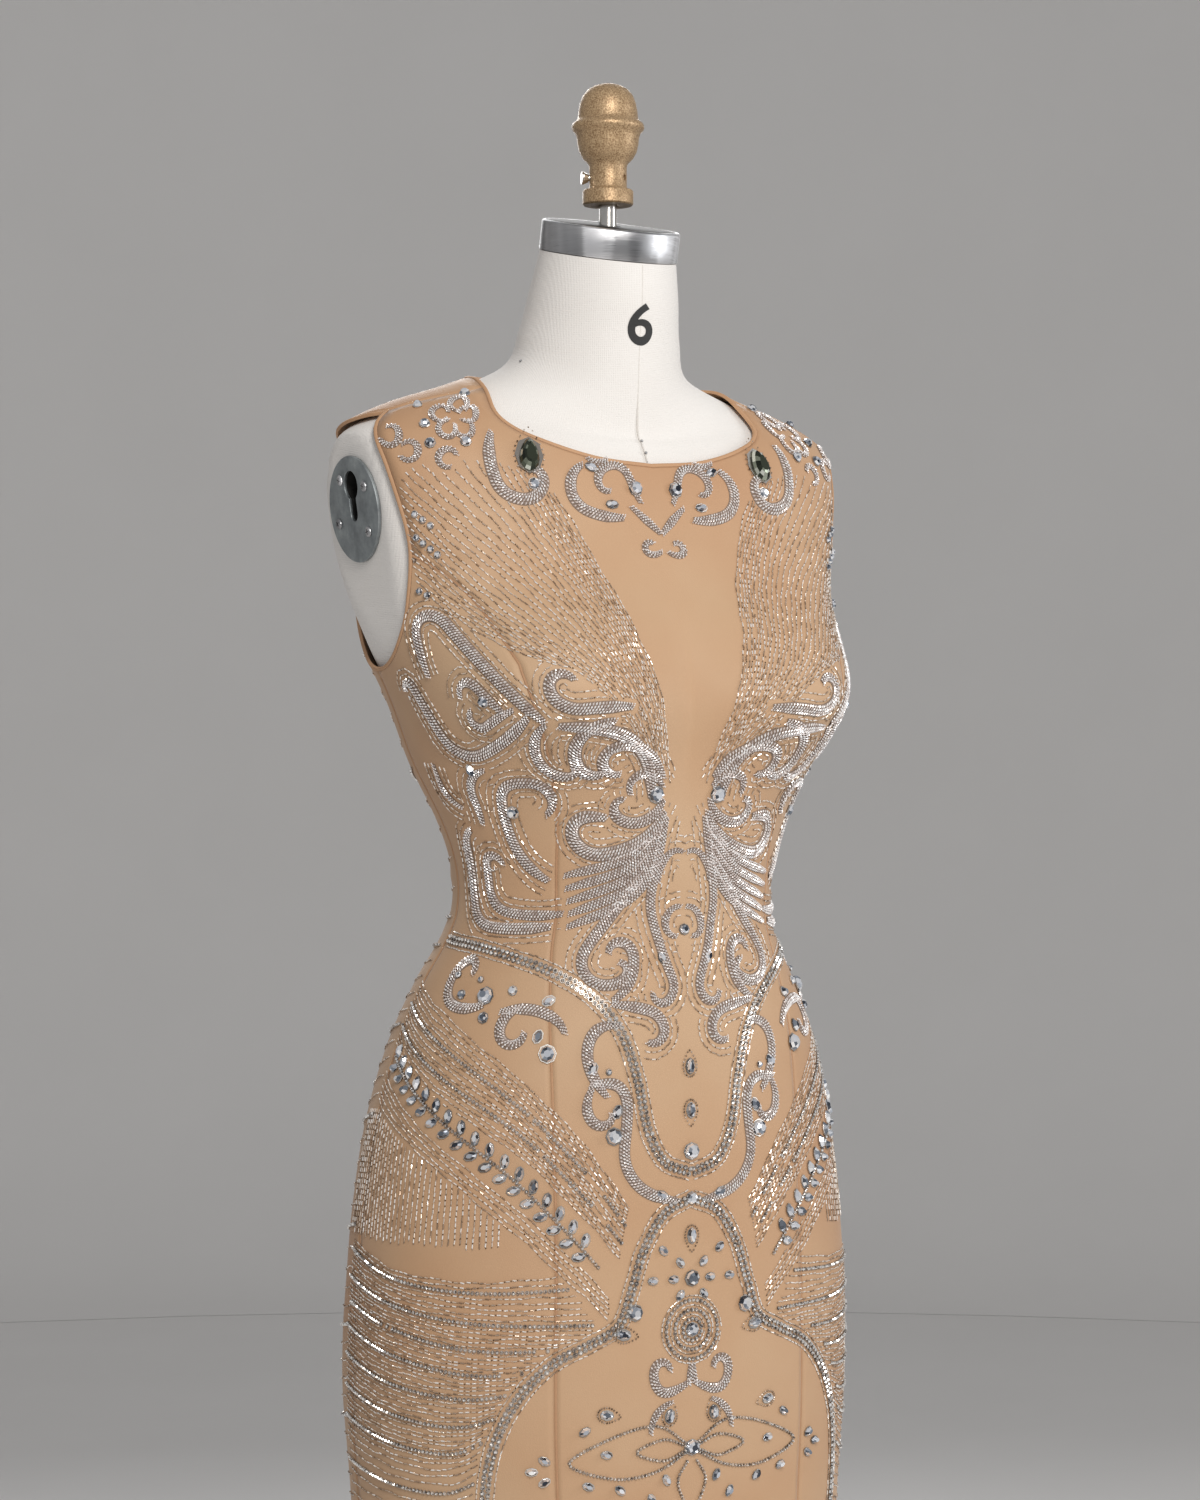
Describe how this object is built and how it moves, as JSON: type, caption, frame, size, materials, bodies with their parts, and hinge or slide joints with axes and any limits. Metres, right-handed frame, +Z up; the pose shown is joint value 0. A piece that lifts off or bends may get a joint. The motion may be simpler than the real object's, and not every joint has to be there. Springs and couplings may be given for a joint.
{
  "type": "sheath evening dress on dress form",
  "caption": "floor-length sleeveless sheath gown with princess seams, flared hem and beaded borders, on a linen-covered dress form with pole and round foot",
  "frame": {"origin": "on the floor at the middle of the foot, on the pole's axis", "axes": "+Z up, -Y the wearer's front, +X the wearer's left"},
  "size_m": [0.47, 0.4356, 1.589],
  "materials": {
    "tulle": "champagne tulle over satin, sewn all over with beads",
    "binding": "narrow satin bias binding",
    "beading": "silver-lined bugle beads and rhinestones sewn side by side",
    "crystal": "faceted foil-backed stones",
    "linen": "white linen stretched over the form",
    "steel": "polished and brushed steel",
    "zinc": "dull galvanised steel",
    "bronze": "hammered bronze-gold lacquer",
    "enamel": "black enamel"
  },
  "bodies": {
    "gown_and_form": {"front_centre_panel": "tulle", "side_front_left": "tulle", "side_front_right": "tulle", "back_left": "tulle", "back_right": "tulle", "neck_binding": "binding", "armhole_binding_left": "binding", "armhole_binding_right": "binding", "zip_tape": "binding", "zip_slider": "steel", "girdle_border": "beading", "skirt_border": "beading", "medallion": "beading", "shoulder_stone_left": "crystal", "shoulder_stone_right": "crystal", "form_torso": "linen", "arm_plate_left": "zinc", "arm_plate_right": "zinc", "neck_cap": "steel", "knob": "bronze", "thumb_screw": "steel", "knob_rod": "steel", "pole": "enamel", "foot": "enamel", "arm_screw_left_1": "zinc", "arm_screw_left_2": "zinc", "arm_screw_left_3": "zinc", "arm_screw_left_4": "zinc", "arm_screw_right_1": "zinc", "arm_screw_right_2": "zinc", "arm_screw_right_3": "zinc", "arm_screw_right_4": "zinc"},
    "zip_pull": {"zip_pull": "steel"}
  },
  "joints": [
    {"name": "zip_pull_swing", "type": "hinge", "parent": "gown_and_form", "child": "zip_pull", "pos_m": [0, 0.10603, 1.37665], "axis": [1, 0, 0], "range_deg": [0, 120]}
  ]
}
